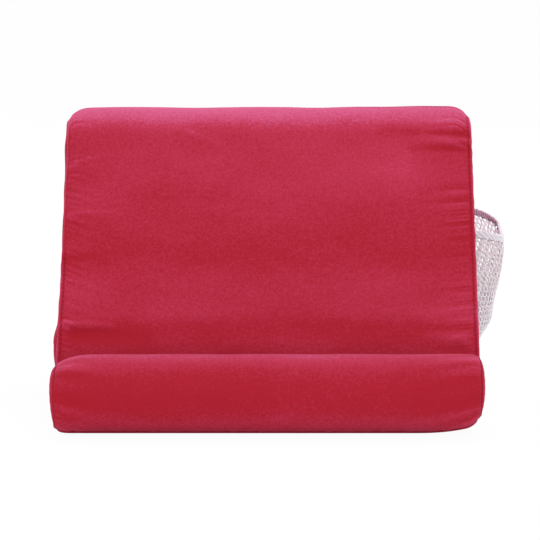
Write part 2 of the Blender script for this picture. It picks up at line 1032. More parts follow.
        return np.concatenate([run(start, ridge[0], steps[0]), ridge[:-1],
                               run(ridge[-1], heel[0], steps[2]), heel[:-1],
                               run(heel[-1], start, steps[4])])

    def span(self, z: Array, inset: float) -> tuple[Array, Array]:
        """Front and rear Y of the side outline.

        Args:
            z: heights.
            inset: how far the outline is moved in.

        Returns:
            Y on the slope and Y on the back, for each height.
        """
        front, rear = ((reach - inset - normal[1] * z) / normal[0]
                       for normal, reach in (self.slope, self.back))
        return front, rear


@dataclass(frozen=True)
class Draw:
    """A place where the cover of the roll's end is drawn in."""

    end: Side
    facing: float
    depth: float
    run: float
    bend: float


@dataclass(frozen=True)
class RollShape:
    """The roll along the foot of the slope, with softly drawn ends."""

    half_length: float = 0.1428
    radius: float = 0.0265
    gap: float = 0.0003
    draws: tuple[Draw, ...] = (
        Draw(Side.LEFT, math.radians(95.0), 0.0075, 0.030, 3.0),
        Draw(Side.LEFT, math.radians(255.0), 0.0020, 0.012, 3.0),
        Draw(Side.RIGHT, math.radians(80.0), 0.0022, 0.012, 3.0),
        Draw(Side.RIGHT, math.radians(235.0), 0.0062, 0.046, 2.6),
        Draw(Side.RIGHT, math.radians(235.0), 0.0050, 0.010, 2.0),
    )
    draw_focus: float = 1.5
    shape: WedgeShape = WedgeShape()

    def centre(self) -> Array:
        """The roll's axis in the section."""
        return self.shape.meet(self.shape.slope, np.array(-self.radius - self.gap),
                               self.shape.base, np.array(self.radius))

    def radius_at(self, x: Array, turn: Array) -> Array:
        """Distance of the cover from the axis.

        Args:
            x: places along the roll.
            turn: directions round it.

        Returns:
            The distances.
        """
        drawn = np.zeros(np.broadcast(x, turn).shape)
        for draw in self.draws:
            share = np.clip((draw.end.value * x - self.half_length + draw.run) / draw.run, 0, 1)
            toward = 0.5 + 0.5 * np.cos(turn - draw.facing)
            drawn += draw.depth * share**draw.bend * toward**self.draw_focus
        return self.radius - drawn

    def points(self, x: Array, turn: Array, inset: float = 0.0) -> Array:
        """Points on the roll.

        Args:
            x: places along it.
            turn: directions round it.
            inset: how far they are moved in.

        Returns:
            The points.
        """
        reach = self.radius_at(x, turn) - inset
        y, z = self.centre()
        return np.stack(np.broadcast_arrays(x, y + reach * np.cos(turn), z + reach * np.sin(turn)), axis=-1)


# Sewing


@dataclass(frozen=True)
class Pucker:
    """Small waves that stand beside a seam."""

    height: float
    peak: float
    wavelength: float

    def waves(self, edge: Array, along: Array, seed: int) -> Array:
        """Heights of the cloth by distance from the seam and along it."""
        return self.height * crest(edge, self.peak) * ripple(along, seed, self.wavelength)


@dataclass(frozen=True)
class Groove:
    """A sewn line that draws the cloth in and presses its pile dark."""

    depth: float
    width: float
    dark: float = 0.0
    dark_width: float = 0.001

    def sink(self, distance: Array) -> Array:
        """How far the cloth is drawn in at distances from the line."""
        return self.depth * bell(distance, self.width)

    def shade(self, distance: Array) -> Array:
        """How far the pile is pressed dark at distances from the line."""
        return self.dark * bell(distance, self.dark_width)


@dataclass(frozen=True)
class Bump:
    """A rise round one place or direction."""

    height: float
    place: float
    reach: float

    def at(self, value: Array) -> Array:
        """Heights at places or directions."""
        return self.height * bell(value - self.place, self.reach)


@dataclass(frozen=True)
class Uneven:
    """Lumps of the filling: their height and size, and the distance from a seam where they are full."""

    height: float
    size: float
    edge: float = 0.02

    def at(self, points: Array, edge: Array, seed: int) -> Array:
        """Heights at points, by their distance from the seam."""
        return self.height * lumps(points, seed, self.size) * np.minimum(1, edge / self.edge)


@dataclass(frozen=True)
class Stitch:
    """A kind of stitch: its pitch, and the length and width of the thread that shows."""

    pitch: float
    length: float
    width: float

    def sew(self, name: str, path: Array, normals: Array, lift: float, thread: Material) -> None:
        """Sews a row.

        Args:
            name: the row's name.
            path: points of the line on the cloth.
            normals: the cloth's normals at them.
            lift: how far the thread stands off the cloth.
            thread: its finish.
        """
        row = stitch_row(name, path + lift * normals, normals, self.pitch, self.length, self.width)
        settle(row, thread)


@dataclass(frozen=True)
class Fold:
    """A crease or a soft ridge in the sloping panel, by X and height. Its outer end is the stronger one."""

    line: tuple[Pair, ...]
    height: float
    width: float
    inner_share: float = 0.3

    def heights(self, x: Array, z: Array, steepness: float) -> Array:
        """How far the fold raises the cloth.

        Args:
            x: places across the panel.
            z: their heights.
            steepness: height for each metre along the panel.

        Returns:
            One height for each place.
        """
        flat = np.stack([x, z / steepness], axis=-1)
        line = [(along, up / steepness) for along, up in self.line]
        reach = sorted(abs(along) for along, _ in self.line)
        grown = self.inner_share + (1 - self.inner_share) * ease(np.abs(x), reach[0], reach[-1])
        return self.height * grown * bell(line_distance(flat, line), self.width)


FOLDS: tuple[Fold, ...] = (
    Fold(((0.110, 0.1853), (0.140, 0.1808)), 0.0020, 0.0035),
    Fold(((0.103, 0.1776), (0.1400, 0.1788)), -0.0019, 0.0034),
    Fold(((0.082, 0.1897), (0.1380, 0.1868)), -0.0014, 0.0036),
    Fold(((-0.1407, 0.1641), (-0.1316, 0.1692), (-0.1134, 0.1731)), 0.0009, 0.0016),
    Fold(((-0.139, 0.1338), (-0.125, 0.1353), (-0.103, 0.1353)), 0.0008, 0.0016),
    Fold(((-0.141, 0.1045), (-0.116, 0.1077)), -0.0007, 0.0026),
    Fold(((-0.1395, 0.0635), (-0.108, 0.0618)), 0.0024, 0.0032),
    Fold(((-0.130, 0.0583), (-0.084, 0.0545)), -0.0017, 0.0060),
    Fold(((0.110, 0.0558), (0.134, 0.0545)), 0.0010, 0.0042),
    Fold(((0.117, 0.0480), (0.133, 0.0478)), -0.0008, 0.0040),
    Fold(((0.048, 0.0705), (0.137, 0.0673)), 0.0005, 0.0090),
    Fold(((-0.057, 0.1890), (-0.031, 0.1795)), 0.0008, 0.0018),
    Fold(((0.001, 0.1526), (0.093, 0.1620)), 0.0006, 0.0160),
)


# Sub-assemblies


@dataclass
class CoverPanel:
    """What the panels of the wedge's sewn cover share.

    Pairs that belong to the two ends hold the left one first.
    """

    suede: Material
    thread: Material
    shape: WedgeShape = WedgeShape()
    stuffing: Stuffing = Stuffing()
    cloth: float = 0.0009
    fill: float = 0.85
    heel_seam: float = math.radians(-45.0)


@dataclass
class FlangedPanel(CoverPanel):
    """A panel with a folded and topstitched flange along both side seams."""

    # Rows and columns
    edge_step: float = 0.0005
    edge_growth: float = 1.115
    edge_columns: int = 18
    middle_columns: int = 38
    row_pitch: float = 0.00074
    # The flange along the side seams, and where the left one is turned back
    lip_over: tuple[float, ...] = (0.0006, 0.0012, 0.0018, 0.0023, 0.0026, 0.0026, 0.0023, 0.0014, 0.0004)
    lip_drop: tuple[float, ...] = (-0.0001, -0.0003, -0.0005, -0.0006, -0.0003, 0.0004, 0.0012, 0.0019,
                                   0.0021)
    rolled_over: tuple[float, ...] = (-0.0003, -0.0006, -0.0009, -0.0011, -0.0012, -0.00125, -0.0012,
                                      -0.0011, -0.0010)
    rolled_drop: tuple[float, ...] = (0.00003, 0.00015, 0.00035, 0.00065, 0.0010, 0.0014, 0.0018, 0.0022,
                                      0.0026)
    turn_back: Range = (0.104, 0.124)
    turn_end: Range = (0.044, 0.079)
    turn_shown: float = 0.2
    reach_focus: int = 14
    # Puckers and nap beside the side seams
    edge_height: float = 0.1
    pucker_slants: Pair = (0.38, 0.12)
    short_pucker: Pucker = Pucker(0.00015, 0.0042, 0.0034)
    long_puckers: tuple[Pucker, Pucker] = (
        Pucker(0.00010, 0.0065, 0.0085), Pucker(0.00015, 0.0065, 0.0085))
    pucker_share: float = 0.75
    pucker_change: float = 0.45
    pucker_run: float = 0.060
    lip_wave: float = 0.00012
    lip_wavelength: float = 0.016
    seam_groove: Groove = Groove(0.00025, 0.0010, 0.22, 0.0010)
    seam_reach: float = 0.0007
    lip_range: Range = (0.0012, 0.0026)
    lip_nap: float = 0.95
    turned_nap: float = 0.45
    uneven: Uneven = Uneven(0.00035, 0.055)
    pucker_full: float = 0.0009
    # Topstitching
    stitch: Stitch = Stitch(0.0031, 0.0019, 0.00062)
    side_lift: float = 0.00012

    def columns(self, extra: Sequence[float] = ()) -> tuple[Array, Array, Array]:
        """Columns of a panel with a folded lip along both side seams.

        Args:
            extra: further places across the width.

        Returns:
            Share of the width from -1 to 1, reach past the seam, and depth under the face.
        """
        half = self.shape.half_width - self.shape.flange
        near = np.cumsum(self.edge_step * self.edge_growth ** np.arange(self.edge_columns))
        far = np.linspace(near[-1], half, self.middle_columns)[1:]
        inner = 1 - np.concatenate([[0.0], near, far]) / half
        main = np.unique(np.concatenate([inner, -inner, np.array(extra)]).round(7))
        over, drop = np.array(self.lip_over), np.array(self.lip_drop)
        xi = np.concatenate([np.full(len(over), -1.0), main, np.full(len(over), 1.0)])
        flat = np.zeros(len(main))
        return xi, np.concatenate([-over[::-1], flat, over]), np.concatenate([drop[::-1], flat, drop])

    @property
    def inner(self) -> slice:
        """The columns between the lips."""
        return slice(len(self.lip_over), -len(self.lip_over))

    def places(self, xi: Array, over: Array) -> Array:
        """Distance of each column from the middle, at the width of the floor."""
        return xi * (self.shape.half_width - self.shape.flange) + over

    def turned(self, section: Array, over: Array) -> Array:
        """How far the left flange is turned back, from 0 to 1.

        Args:
            section: places by Y and Z.
            over: reach of each column past the seam, below 0 on the left.

        Returns:
            One share for each place.
        """
        share = ease(section[..., 1], *self.turn_back) * (1 - ease(section[..., 0], *self.turn_end))
        return np.where(over < 0, share, 0.0)

    def lipped(self, section: Array, xi: Array, over: Array, drop: Array) -> Array:
        """Points of a panel with its lips.

        Args:
            section: Y and Z, rows by columns.
            xi: place of each column.
            over: reach of each column past the seam.
            drop: depth of each column under the face.

        Returns:
            The points.
        """
        z = section[..., 1]
        turned = self.turned(section, over)
        rolled = np.zeros((2, len(xi)))
        rolled[:, : len(self.lip_over)] = np.array([self.rolled_over, self.rolled_drop])[:, ::-1]
        over = over + turned * (rolled[0] - over)
        drop = drop + turned * (rolled[1] - drop)
        x = xi * self.shape.stitch_half(z) + over
        x = x - np.where(xi < 0, self.shape.left_reach(z) * np.abs(xi) ** self.reach_focus, 0.0)
        points = np.concatenate([x[..., None], section], axis=-1)
        inward = np.gradient(section, axis=0)
        inward /= np.linalg.norm(inward, axis=-1, keepdims=True)
        points[..., 1] += drop * inward[..., 1]
        points[..., 2] -= drop * inward[..., 0]
        return points

    def seam_work(self, points: Array, xi: Array, over: Array, seed: int) -> tuple[Array, Array]:
        """Puckers, seam groove and lumps of a panel.

        Args:
            points: rows by columns by three.
            xi: place of each column.
            over: reach of each column past the seam.
            seed: picks the waves.

        Returns:
            Height along the normals, and the nap.
        """
        along = run_length(points[:, points.shape[1] // 2])
        edge = (1 - np.abs(xi)) * self.shape.stitch_half(np.array(self.edge_height))
        height = np.zeros(points.shape[:2])
        for end in Side:
            here = np.where(np.sign(xi) == end.value, 1.0, 0.0)
            slant = along[:, None] + end.of(self.pucker_slants) * edge[None]
            change = ripple(along, seed + 20 + end.value, self.pucker_run)[:, None]
            waves = self.short_pucker.waves(edge, slant, seed + end.value)
            waves += end.of(self.long_puckers).waves(edge, slant, seed + 10 + end.value)
            height += here * (self.pucker_share + self.pucker_change * change) * waves
        nap = rubbed(height, self.pucker_full)
        wavy = ripple(along, seed + 30, self.lip_wavelength)[:, None]
        near = np.abs(over) < self.seam_reach
        height += wavy * np.where(np.abs(over) > 0, self.lip_wave, 0.0)
        height -= self.seam_groove.sink(edge) * near
        turned = self.turned(points[..., 1:], over)
        nap += self.lip_nap * ease(np.abs(over), *self.lip_range) * (1 - turned)
        nap += self.turned_nap * turned - self.seam_groove.shade(edge) * near
        height += self.uneven.at(points, edge, seed + 40)
        return height, nap

    def topstitch(self, name: str, points: Array, normals: Array, rows: slice) -> None:
        """Sews both side seams of a panel.

        Args:
            name: start of the rows' names.
            points: the panel's points.
            normals: its normals.
            rows: the rows that show.
        """
        lips = len(self.lip_over)
        for end, column in ((Side.LEFT, lips), (Side.RIGHT, points.shape[1] - lips - 1)):
            hidden = self.turned(points[rows, column, 1:], np.array(end.value))
            shown = np.cumprod(hidden < self.turn_shown).astype(bool)
            self.stitch.sew(f"{name}_{end.word}_topstitch", points[rows, column][shown],
                            normals[rows, column][shown], self.side_lift, self.thread)


@dataclass
class FrontPanel(FlangedPanel):
    """The sloping panel, over the ridge to the seam at the back."""

    foot: float = 0.0017
    crown: float = 0.0042
    crown_loss: float = 0.92
    crown_fade: Range = (0.150, 0.194)
    fold_full: float = 0.0022
    rear_seam: Groove = Groove(0.0013, 0.0022, 0.9, 0.0012)
    rear_pucker: Pucker = Pucker(0.00030, 0.004, 0.011)
    swelling: Bump = Bump(0.0056, 0.030, 0.022)
    swelling_start: Range = (0.016, 0.030)
    swelling_ends: Range = (1.0, 0.80)
    band_nap: float = 0.30
    band_heights: tuple[Range, Range] = ((0.060, 0.072), (0.088, 0.110))
    glow_nap: Bump = Bump(0.10, 0.048, 0.012)
    upper_nap: float = 0.36
    upper_heights: Range = (0.090, 0.165)
    ridge_heights: Range = (0.183, 0.204)
    ridge_bend: float = 1.2
    ridge_groove: Groove = Groove(0.00045, 0.0010, 0.7, 0.0009)
    ridge_seam: tuple[tuple[float, ...], tuple[float, ...]] = (
        (-0.145, 0.0, 0.145), (math.radians(74.0), math.radians(84.0), math.radians(98.0)))
    ridge_rows: int = 44
    ridge_lift: float = 0.0001
    stitch_from: float = 0.045

    def build(self) -> None:
        """Makes and dresses the panel."""
        xi, over, drop = self.columns()
        climb = np.linspace(0, 1, round(self.shape.height / self.row_pitch))
        turns = np.linspace(self.shape.slope_turn, self.shape.back_turn, self.ridge_rows)[1:]
        section = self.shape.front_section(self.places(xi, over), self.foot, climb, turns)
        points = self.lipped(section, xi, over, drop)
        x, z = points[..., 0], points[..., 2]
        normals = grid_normals(points)
        height, nap = self.seam_work(points, xi, over, Seed.FRONT)
        for fold in FOLDS:
            shape = fold.heights(x, z, self.shape.steepness)
            height += shape
            nap += rubbed(shape, self.fold_full)
        rear = lengths(points - points[-1:])
        sewn, line = self.ridge_line(points, len(climb), turns)
        swelling = self.swelling.at(z) * ease(z, *self.swelling_start)
        height += swelling * ease(np.abs(xi), *self.swelling_ends)
        height += self.rear_pucker.waves(rear, x, Seed.REAR)
        height -= self.rear_seam.sink(rear) + self.ridge_groove.sink(line)
        nap += self.slope_nap(z) - self.rear_seam.shade(rear) - self.ridge_groove.shade(line)
        moves = np.zeros_like(points)
        moves[:, self.inner] = self.stuffing.swell(points[:, self.inner], self.crown)
        moves *= 1 - self.crown_loss * ease(z, *self.crown_fade)[..., None]
        done = points + moves + height[..., None] * normals
        done[..., 2] += self.shape.toe_lift(points)
        facing = grid_normals(done)
        panel = thicken(panel_mesh("front_panel_cover", done, nap), self.cloth)
        self.topstitch("front", done, facing, slice(round(self.stitch_from / self.row_pitch), -1))
        self.ridge_stitch(done, facing, sewn)
        settle(panel, self.suede, ["front_panel"])

    def slope_nap(self, z: Array) -> Array:
        """How the sloping panel's pile is brushed: lighter in a band low down, and towards the ridge.

        Args:
            z: heights.

        Returns:
            The nap.
        """
        band = self.band_nap * plateau(z, *self.band_heights) + self.glow_nap.at(z)
        ridge = ease(z, *self.ridge_heights) ** self.ridge_bend
        return band + self.upper_nap * ease(z, *self.upper_heights) + ridge

    def ridge_line(self, points: Array, straight: int, turns: Array) -> tuple[Array, Array]:
        """The sewn line along the ridge, which wanders back towards the left end.

        Args:
            points: the sloping panel's points.
            straight: number of rows on the straight slope.
            turns: directions of the rows on the ridge.

        Returns:
            Row number of the line in each column, and each point's distance from it.
        """
        heading = np.interp(points[0, :, 0], *self.ridge_seam)
        rows = straight + np.interp(heading, turns[::-1], np.arange(len(turns))[::-1])
        step = self.shape.ridge_radius * (turns[0] - turns[1])
        return rows, np.abs(np.arange(len(points))[:, None] - rows) * step

    def ridge_stitch(self, points: Array, normals: Array, rows: Array) -> None:
        """Sews the line along the ridge.

        Args:
            points: the sloping panel's points.
            normals: its normals.
            rows: row number of the line in each column.
        """
        number = np.floor(rows).astype(int)
        share = (rows - number)[:, None]
        columns = np.arange(points.shape[1])
        path = points[number, columns] * (1 - share) + points[number + 1, columns] * share
        self.stitch.sew("ridge_topstitch", path[self.inner], normals[number, columns][self.inner],
                        self.ridge_lift, self.thread)


@dataclass
class BackPanels(FlangedPanel):
    """The back above and below the zip, with a window for it."""

    crown: float = 0.0040
    zip_height: float = 0.046
    window_length: float = 0.121
    window_tall: float = 0.006
    window_corner: float = 0.004
    window_slit: float = 0.0002
    window_steps: int = 7
    window_past: Pair = (0.00005, 0.0008)
    window_seam: float = 0.0026
    window_reach: float = 0.003
    lip_calm: Range = (0.002, 0.030)
    lip_share: float = 0.25
    lip_pucker: Pucker = Pucker(0.00025, 0.005, 0.013)
    lip_groove: Groove = Groove(0.0007, 0.0009, 0.5, 0.0008)
    back_seam: Groove = Groove(0.0013, 0.0022, 0.8, 0.0012)
    back_pucker: Pucker = Pucker(0.00030, 0.004, 0.012)
    pitch: float = 1.3
    heel_rows: int = 14
    window_lift: float = 0.00015

    def build(self) -> None:
        """Makes and dresses both panels."""
        self.upper()
        self.lower()

    def window_half(self, x: Array) -> Array:
        """Half the height of the zip's window.

        Args:
            x: places across the back.

        Returns:
            One height for each place.
        """
        corner = self.window_corner
        into = np.clip(np.abs(x) - (self.window_length - corner), 0, corner)
        bend = self.window_tall - corner + np.sqrt(np.maximum(corner**2 - into**2, 0))
        return np.where(np.abs(x) < self.window_length, bend, self.window_slit)

    def window_columns(self) -> list[float]:
        """Places across the width that follow the window's corners.

        Returns:
            Shares of the width, from -1 to 1.
        """
        half, corner = self.window_length, self.window_corner
        turns = np.sin(np.linspace(0, math.pi / 2, self.window_steps))
        places = np.concatenate([half - corner + corner * turns, half + np.array(self.window_past)])
        places = places / self.shape.stitch_half(np.array(self.zip_height))
        return [*places, *-places]

    def lip_height(self, xi: Array, sign: float) -> Array:
        """Height of the window's lip for each column."""
        x = xi * self.shape.stitch_half(np.array(self.zip_height))
        return self.zip_height + sign * self.window_half(x) * math.cos(self.shape.back_turn)

    def upper(self) -> None:
        """The back above the zip."""
        xi, over, drop = self.columns(self.window_columns())
        top = self.shape.back_top(self.places(xi, over))
        low = self.shape.back_at(self.lip_height(xi, 1.0))
        rows = round(self.shape.height / self.row_pitch / self.pitch)
        section = top + np.linspace(0, 1, rows)[:, None, None] * (low - top)
        self.panel("upper", section, (xi, over, drop), Seed.BACK_UPPER)

    def lower(self) -> None:
        """The back below the zip, round the heel to the base seam."""
        xi, over, drop = self.columns(self.window_columns())
        high = self.shape.back_at(self.lip_height(xi, -1.0))
        heel = self.shape.heel_arc(np.linspace(self.shape.back_turn, self.heel_seam, self.heel_rows))
        rows = round(self.zip_height / self.row_pitch / self.pitch)
        straight = high + np.linspace(0, 1, rows)[:, None, None] * (heel[0] - high)
        section = np.concatenate([straight, heel[1:, None] + np.zeros((1, len(xi), 1))])
        self.panel("lower", section, (xi, over, drop), Seed.BACK_LOWER)

    def panel(self, which: str, section: Array, columns: tuple[Array, Array, Array], seed: int
                   ) -> None:
        """One of the two back panels.

        Args:
            which: upper or lower.
            section: Y and Z, rows by columns.
            columns: place, reach past the seam and depth of each column.
            seed: picks the waves.
        """
        upper = which == "upper"
        xi, over, _ = columns
        points = self.lipped(section, *columns)
        normals = grid_normals(points)
        height, nap = self.seam_work(points, xi, over, seed)
        lip_row, seam_row = (-1, 0) if upper else (0, -1)
        lip = lengths(points - points[lip_row])
        seam = lengths(points - points[seam_row])
        height *= self.lip_share + (1 - self.lip_share) * ease(lip, *self.lip_calm)
        height += self.lip_pucker.waves(lip, points[..., 0], seed + 3) - self.lip_groove.sink(lip)
        height += self.back_pucker.waves(seam, points[..., 0], seed + 5) - self.back_seam.sink(seam)
        nap -= self.back_seam.shade(seam) + self.lip_groove.shade(lip)
        moves = np.zeros_like(points)
        if upper:
            moves[:, self.inner] = self.stuffing.swell(points[:, self.inner], self.crown)
        done = points + moves + height[..., None] * normals
        facing = grid_normals(done)
        panel = thicken(panel_mesh(f"back_panel_{which}_cover", done, nap), self.cloth)
        self.topstitch(f"back_{which}", done, facing, slice(2, -2))
        self.window_stitch(f"zip_{which}_topstitch", done, facing, lip_row)
        settle(panel, self.suede, [f"back_panel_{which}"])

    def window_stitch(self, name: str, points: Array, normals: Array, lip_row: int) -> None:
        """Sews the zip in along one lip of its window.

        Args:
            name: the row's name.
            points: the panel's points.
            normals: its normals.
            lip_row: the lip's row, 0 or -1.
        """
        order = slice(None) if lip_row == 0 else slice(None, None, -1)
        across = points[lip_row, :, 0]
        line = self.window_seam + self.window_tall - self.window_half(across)
        path, facing = [], []
        for column in np.flatnonzero(np.abs(across) < self.window_length + self.window_reach):
            run = points[order, column]
            away = lengths(run - run[0])
            for found, values in ((path, run), (facing, normals[order, column])):
                found.append([np.interp(line[column], away, values[:, k]) for k in range(3)])
        self.stitch.sew(name, np.array(path), np.array(facing), self.window_lift, self.thread)


@dataclass
class BasePanel(CoverPanel):
    """The flat underside, from the heel seam to the seam under the roll."""

    roll: RollShape = RollShape()
    fill: float = 0.7
    columns: int = 131
    rows: int = 90
    heel_rows: int = 8
    inset: float = 0.0008
    curl: Range = (math.radians(270.0), math.radians(245.0))
    curl_rows: int = 14
    curl_tuck: Pair = (math.radians(3.0), math.radians(6.0))
    tuck_depth: float = 0.0016
    roll_seam: Groove = Groove(0.0008, 0.0016, 0.7, 0.0010)
    base_seam: Groove = Groove(0.0012, 0.002)
    base_edge: Groove = Groove(0.0012, 0.0016)
    hollow: float = 0.0006
    hollow_lumps: float = 0.6
    hollow_size: float = 0.060
    hollow_edge: float = 0.025
    hollow_back: Range = (0.01, 0.05)
    hollow_front: Range = (0.015, 0.05)

    def build(self) -> None:
        """Makes and dresses the panel."""
        xi = np.linspace(-1, 1, self.columns)
        heel = self.shape.heel_arc(np.linspace(self.heel_seam, -math.pi / 2, self.heel_rows))
        front = self.roll.centre()[0]
        flat_y = np.linspace(heel[-1, 0], front, self.rows)[1:]
        section = np.concatenate([heel, np.stack([flat_y, np.zeros(len(flat_y))], axis=1)])
        half = self.shape.stitch_half(np.array(0.0))
        x, wide = xi * half, xi * (self.roll.half_length - self.inset)
        points = np.zeros((len(section), len(xi), 3))
        points[..., 0], points[..., 1:] = x, section[:, None]
        curl = np.append(np.linspace(*self.curl, self.curl_rows), self.curl[1] - np.array(self.curl_tuck))
        along_roll = self.roll.points(wide[None], curl[:, None])
        near = ease(points[..., 1], self.shape.toe, front)
        points[..., 2] += self.shape.toe_lift(points) * (1 - near) + near * along_roll[0, :, 2]
        points[..., 0] += near * (wide - x)
        points = np.concatenate([points, along_roll[1:]])
        normals = grid_normals(points)
        tucked = len(self.curl_tuck)
        edge = (1 - np.abs(xi)) * half
        seam = lengths(points - points[-tucked - 1])
        back = lengths(points - points[0])
        height = -self.roll_seam.sink(seam) - self.base_seam.sink(back)
        height[-tucked:] = -self.tuck_depth
        hollow = ease(back, *self.hollow_back) * ease(seam, *self.hollow_front)
        hollow *= 1 + self.hollow_lumps * lumps(points, Seed.BASE, self.hollow_size)
        height -= self.hollow * np.minimum(1, edge / self.hollow_edge) * hollow + self.base_edge.sink(edge)
        done = points + height[..., None] * normals
        panel = thicken(panel_mesh("base_panel_cover", done, -self.roll_seam.shade(seam)), self.cloth)
        settle(panel, self.suede, ["base_panel"])


@dataclass
class SidePanels(CoverPanel):
    """The stuffed triangular ends."""

    crowns: Pair = (0.0042, 0.0026)
    steps: tuple[int, ...] = (90, 34, 80, 12, 78)
    rings: tuple[float, int, float] = (0.02, 46, 1.35)
    inset: float = 0.0021
    gap: float = 0.0002
    focus: int = 6
    calms: Pair = (0.8, 0.25)
    short: Pucker = Pucker(0.00045, 0.0038, 0.0075)
    long: Pucker = Pucker(0.00055, 0.012, 0.021)
    fade: Range = (0.010, 0.034)
    uneven: Uneven = Uneven(0.0005, 0.050)
    full: float = 0.0016
    most: float = 0.6
    side_rim: Groove = Groove(0.0, 0.001, 0.45, 0.001)
    bulges: tuple[tuple[float, float, float, float], ...] = (
        (0.054, 0.180, 0.0012, 0.014), (-0.028, 0.044, 0.0047, 0.021))
    bulge_edge: float = 0.005

    def build(self) -> None:
        """Makes and dresses both panels."""
        for end in Side:
            self.side(end)

    def side(self, end: Side) -> None:
        """The stuffed triangular end on one side.

        Args:
            end: which side.
        """
        left = end is Side.LEFT
        place = self.shape.half_width - (self.shape.flange if left else 0.0)
        rim = self.shape.outline(end.value * place, self.inset, self.steps)
        share = ring_shares(*self.rings)
        middle = np.array(self.shape.middle)
        section = middle + share[:, None, None] * (rim - middle)
        x = end.value * (self.shape.stitch_half(section[..., 1]) + self.gap)
        if left:
            x = x - self.shape.left_reach(section[..., 1]) * share[:, None] ** self.focus
        points = facing_out(np.concatenate([x[..., None], section], axis=-1), end)
        moves = self.stuffing.swell(points, end.of(self.crowns), ring=True)
        along = run_length(points[-1])
        edge = lengths(points - points[-1])
        seed = Seed.SIDE + 10 * end.value
        height = self.short.waves(edge, along, seed)
        height += self.long.waves(edge, along, seed + 1) * (1 - ease(edge, *self.fade))
        height += self.uneven.at(points, edge, seed + 2)
        height *= end.of(self.calms)
        nap = rubbed(height, self.full, self.most) - self.side_rim.shade(edge)
        for y, z, rise, reach in self.bulges if left else ():
            away = np.linalg.norm(points[..., 1:] - np.array([y, z]), axis=-1)
            height += rise * bell(away, reach) * np.minimum(1, edge / self.bulge_edge)
        done = points + moves
        done[..., 0] += height * end.value
        done[..., 2] += self.shape.toe_lift(points)
        name = f"{end.word}_side_panel"
        panel = thicken(panel_mesh(f"{name}_cover", done, nap, ring=True), self.cloth)
        settle(panel, self.suede, [name])


